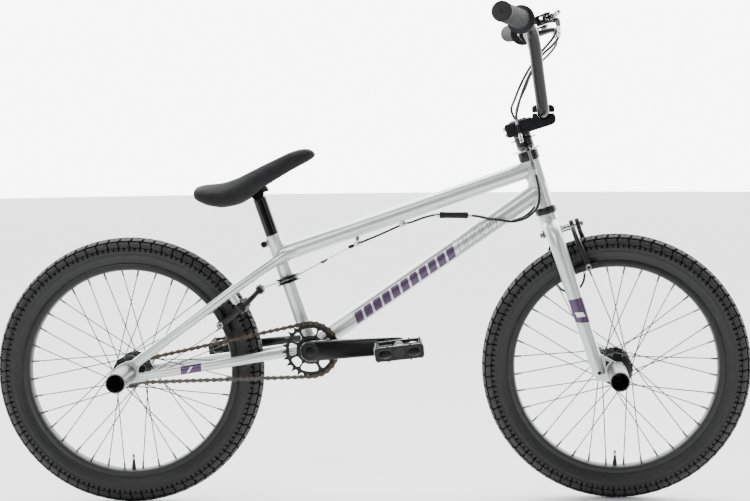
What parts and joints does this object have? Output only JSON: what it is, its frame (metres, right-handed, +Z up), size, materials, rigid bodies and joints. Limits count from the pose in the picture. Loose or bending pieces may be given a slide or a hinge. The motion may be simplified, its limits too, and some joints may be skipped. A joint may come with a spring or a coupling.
{
  "type": "bicycle",
  "caption": "Freestyle bicycle with small wheels, turning fork and high bars, crank and pedals on a chain, rim brakes worked by levers, rotor for the brake cables, and axle pegs.",
  "frame": {"origin": "point of the ground under the middle of the rear tyre", "axes": "+X forward along the bicycle, +Y to the rider's left, +Z up"},
  "size_m": [1.4256, 0.7075, 0.9291],
  "materials": {
    "frame_silver": "cool satin silver paint with clear coat",
    "gloss_black_alloy": "gloss black paint",
    "black_alloy": "black anodised",
    "polished_metal": "polished",
    "bare_steel": "plated steel",
    "black_steel": "black steel",
    "bronze_chain": "bronze plated, oiled",
    "tyre_black": "matte",
    "grip_rubber": "matte, textured",
    "saddle_cover": "grained dark grey cover over foam",
    "black_plastic": "moulded, slightly rough",
    "cable_black": "gloss black housing"
  },
  "bodies": {
    "frame": {"head_tube": "frame_silver", "headset_lower_cup": "black_alloy", "headset_upper_cup": "black_alloy", "top_tube": "frame_silver", "down_tube": "frame_silver", "seat_tube": "frame_silver", "bottom_bracket_shell": "frame_silver", "seat_stay_right": "frame_silver", "seat_stay_left": "frame_silver", "chain_stay_right": "frame_silver", "chain_stay_left": "frame_silver", "rear_axle": "bare_steel", "rear_peg_left": "bare_steel", "rear_peg_right": "bare_steel", "chain": "bronze_chain", "cable_guide_ring": "black_alloy", "rear_brake_cable": "cable_black", "lower_cable_right": "cable_black", "lower_cable_left": "cable_black", "detangler_lower_plate": "polished_metal"},
    "seat_support": {"seat_post": "gloss_black_alloy"},
    "seat": {"saddle": "saddle_cover", "saddle_bracket": "black_alloy"},
    "steering": {"fork_crown": "frame_silver", "fork_leg_right": "frame_silver", "fork_leg_left": "frame_silver", "stem": "gloss_black_alloy", "stem_clamp_cap": "gloss_black_alloy", "handlebar": "gloss_black_alloy", "grip_right": "grip_rubber", "grip_left": "grip_rubber", "lever_mount_right": "black_alloy", "lever_mount_left": "black_alloy", "detangler_upper_plate": "black_alloy", "upper_cable_right": "cable_black", "upper_cable_left": "cable_black", "front_brake_cable": "cable_black", "front_brake_bolt": "bare_steel", "front_axle": "bare_steel", "front_peg_left": "bare_steel", "front_peg_right": "bare_steel"},
    "front_wheel": {"front_tyre": "tyre_black", "front_rim": "black_alloy", "front_hub_and_spokes": "black_steel"},
    "rear_wheel": {"rear_tyre": "tyre_black", "rear_rim": "black_alloy", "rear_hub_and_spokes": "black_steel"},
    "rear_driver": {"driver": "bare_steel"},
    "crankset": {"chainring": "black_alloy", "crank_arm_right": "gloss_black_alloy", "crank_arm_left": "gloss_black_alloy"},
    "right_pedal": {"pedal_right": "black_plastic"},
    "left_pedal": {"pedal_left": "black_plastic"},
    "right_lever": {"brake_lever_right": "polished_metal"},
    "left_lever": {"brake_lever_left": "polished_metal"},
    "rear_brake_right": {"rear_brake_arm_right": "black_alloy"},
    "rear_brake_left": {"rear_brake_arm_left": "black_alloy"},
    "front_brake_right": {"front_brake_arm_right": "black_alloy"},
    "front_brake_left": {"front_brake_arm_left": "black_alloy"}
  },
  "joints": [
    {"name": "steering_turn", "type": "hinge", "parent": "frame", "child": "steering", "pos_m": [0.88585, 0, 0.24223], "axis": [-0.299, 0, 0.9542], "continuous": true},
    {"name": "front_wheel_spin", "type": "hinge", "parent": "steering", "child": "front_wheel", "pos_m": [0.92001, -0.00381, 0.25294], "axis": [0.1011, 0.9944, 0.0317], "continuous": true},
    {"name": "rear_wheel_spin", "type": "hinge", "parent": "frame", "child": "rear_wheel", "pos_m": [0, 0, 0.253], "axis": [0, 1, 0], "continuous": true},
    {"name": "crank_turn", "type": "hinge", "parent": "frame", "child": "crankset", "pos_m": [0.3437, 0, 0.294], "axis": [0, 1, 0], "continuous": true},
    {"name": "driver_spin", "type": "hinge", "parent": "frame", "child": "rear_driver", "pos_m": [0, 0, 0.253], "axis": [0, 1, 0], "continuous": true},
    {"name": "right_pedal_spin", "type": "hinge", "parent": "crankset", "child": "right_pedal", "pos_m": [0.5083, 0, 0.30551], "axis": [0, 1, 0], "continuous": true},
    {"name": "left_pedal_spin", "type": "hinge", "parent": "crankset", "child": "left_pedal", "pos_m": [0.1791, 0, 0.28249], "axis": [0, 1, 0], "continuous": true},
    {"name": "seat_height", "type": "slide", "parent": "frame", "child": "seat_support", "axis": [-0.3206, 0, 0.9472], "range_m": [-0.045, 0.03]},
    {"name": "saddle_tilt", "type": "hinge", "parent": "seat_support", "child": "seat", "pos_m": [0.24495, 0, 0.58574], "axis": [0, 1, 0], "range_deg": [-8, 8]},
    {"name": "right_lever_pull", "type": "hinge", "parent": "steering", "child": "right_lever", "pos_m": [0.77006, -0.19398, 0.89236], "axis": [0.299, 0, -0.9542], "range_deg": [0, 24], "stiffness_Nm_per_rad": 1.5, "springref_deg": -8.59},
    {"name": "left_lever_pull", "type": "hinge", "parent": "steering", "child": "left_lever", "pos_m": [0.80726, 0.17195, 0.90402], "axis": [-0.299, 0, 0.9542], "range_deg": [0, 24], "stiffness_Nm_per_rad": 1.5, "springref_deg": -8.59},
    {"name": "rear_brake_right_close", "type": "hinge", "parent": "frame", "child": "rear_brake_right", "pos_m": [0.19634, -0.04, 0.39617], "axis": [0.5892, 0, -0.808], "range_deg": [0, 1.5]},
    {"name": "rear_brake_left_close", "type": "hinge", "parent": "frame", "child": "rear_brake_left", "pos_m": [0.19634, 0.04, 0.39617], "axis": [-0.5892, 0, 0.808], "range_deg": [0, 1.5]},
    {"name": "front_brake_right_close", "type": "hinge", "parent": "steering", "child": "front_brake_right", "pos_m": [0.80194, 0, 0.50999], "axis": [0.9489, -0.1059, 0.2974], "range_deg": [0, 1.05]},
    {"name": "front_brake_left_close", "type": "hinge", "parent": "steering", "child": "front_brake_left", "pos_m": [0.80194, 0, 0.50999], "axis": [-0.9489, 0.1059, -0.2974], "range_deg": [0, 1.05]}
  ],
  "couplings": [
    {"joint": "driver_spin", "follows": "crank_turn", "ratio": 2.7778},
    {"joint": "rear_brake_right_close", "follows": "right_lever_pull", "ratio": 0.0624},
    {"joint": "rear_brake_left_close", "follows": "right_lever_pull", "ratio": 0.0624},
    {"joint": "front_brake_right_close", "follows": "left_lever_pull", "ratio": 0.0436},
    {"joint": "front_brake_left_close", "follows": "left_lever_pull", "ratio": 0.0436}
  ]
}
